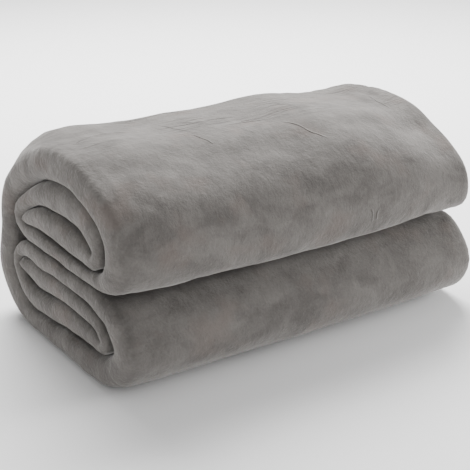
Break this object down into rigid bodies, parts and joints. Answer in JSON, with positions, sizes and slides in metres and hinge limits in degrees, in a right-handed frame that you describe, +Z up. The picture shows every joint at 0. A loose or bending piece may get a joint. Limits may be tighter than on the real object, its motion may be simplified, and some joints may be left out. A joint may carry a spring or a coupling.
{
  "type": "folded throw blanket",
  "caption": "Plush throw folded in four, then rolled in from both ends into two flat halves stacked on one shared back fold; the upper half swings open over that fold.",
  "frame": {"origin": "on the surface that it rests on, under the middle of the folded throw", "axes": "+X along the fold, towards the end with the hemmed edges; +Y from the rounded front to the back fold; +Z up"},
  "size_m": [0.3188, 0.2174, 0.1583],
  "materials": {
    "plush_pile": "short plush pile, warm mid grey",
    "hem_cloth": "turned and stitched plush hem",
    "label_ribbon": "blank woven ribbon"
  },
  "bodies": {
    "lower_half": {"lower_core_leaf": "plush_pile", "lower_inner_leaf": "plush_pile", "lower_mating_leaf": "plush_pile", "lower_outer_leaf": "plush_pile", "lower_end_hem": "hem_cloth", "lower_side_hem_middle": "hem_cloth", "lower_side_hem_inner": "hem_cloth", "care_label": "label_ribbon"},
    "upper_half": {"upper_core_leaf": "plush_pile", "upper_inner_leaf": "plush_pile", "upper_mating_leaf": "plush_pile", "upper_outer_leaf": "plush_pile", "upper_end_hem": "hem_cloth", "upper_side_hem_middle": "hem_cloth", "upper_side_hem_inner": "hem_cloth"}
  },
  "joints": [
    {"name": "spine_fold", "type": "hinge", "parent": "lower_half", "child": "upper_half", "pos_m": [0, 0.1065, 0.074], "axis": [-1, 0, 0], "range_deg": [0, 166]}
  ]
}
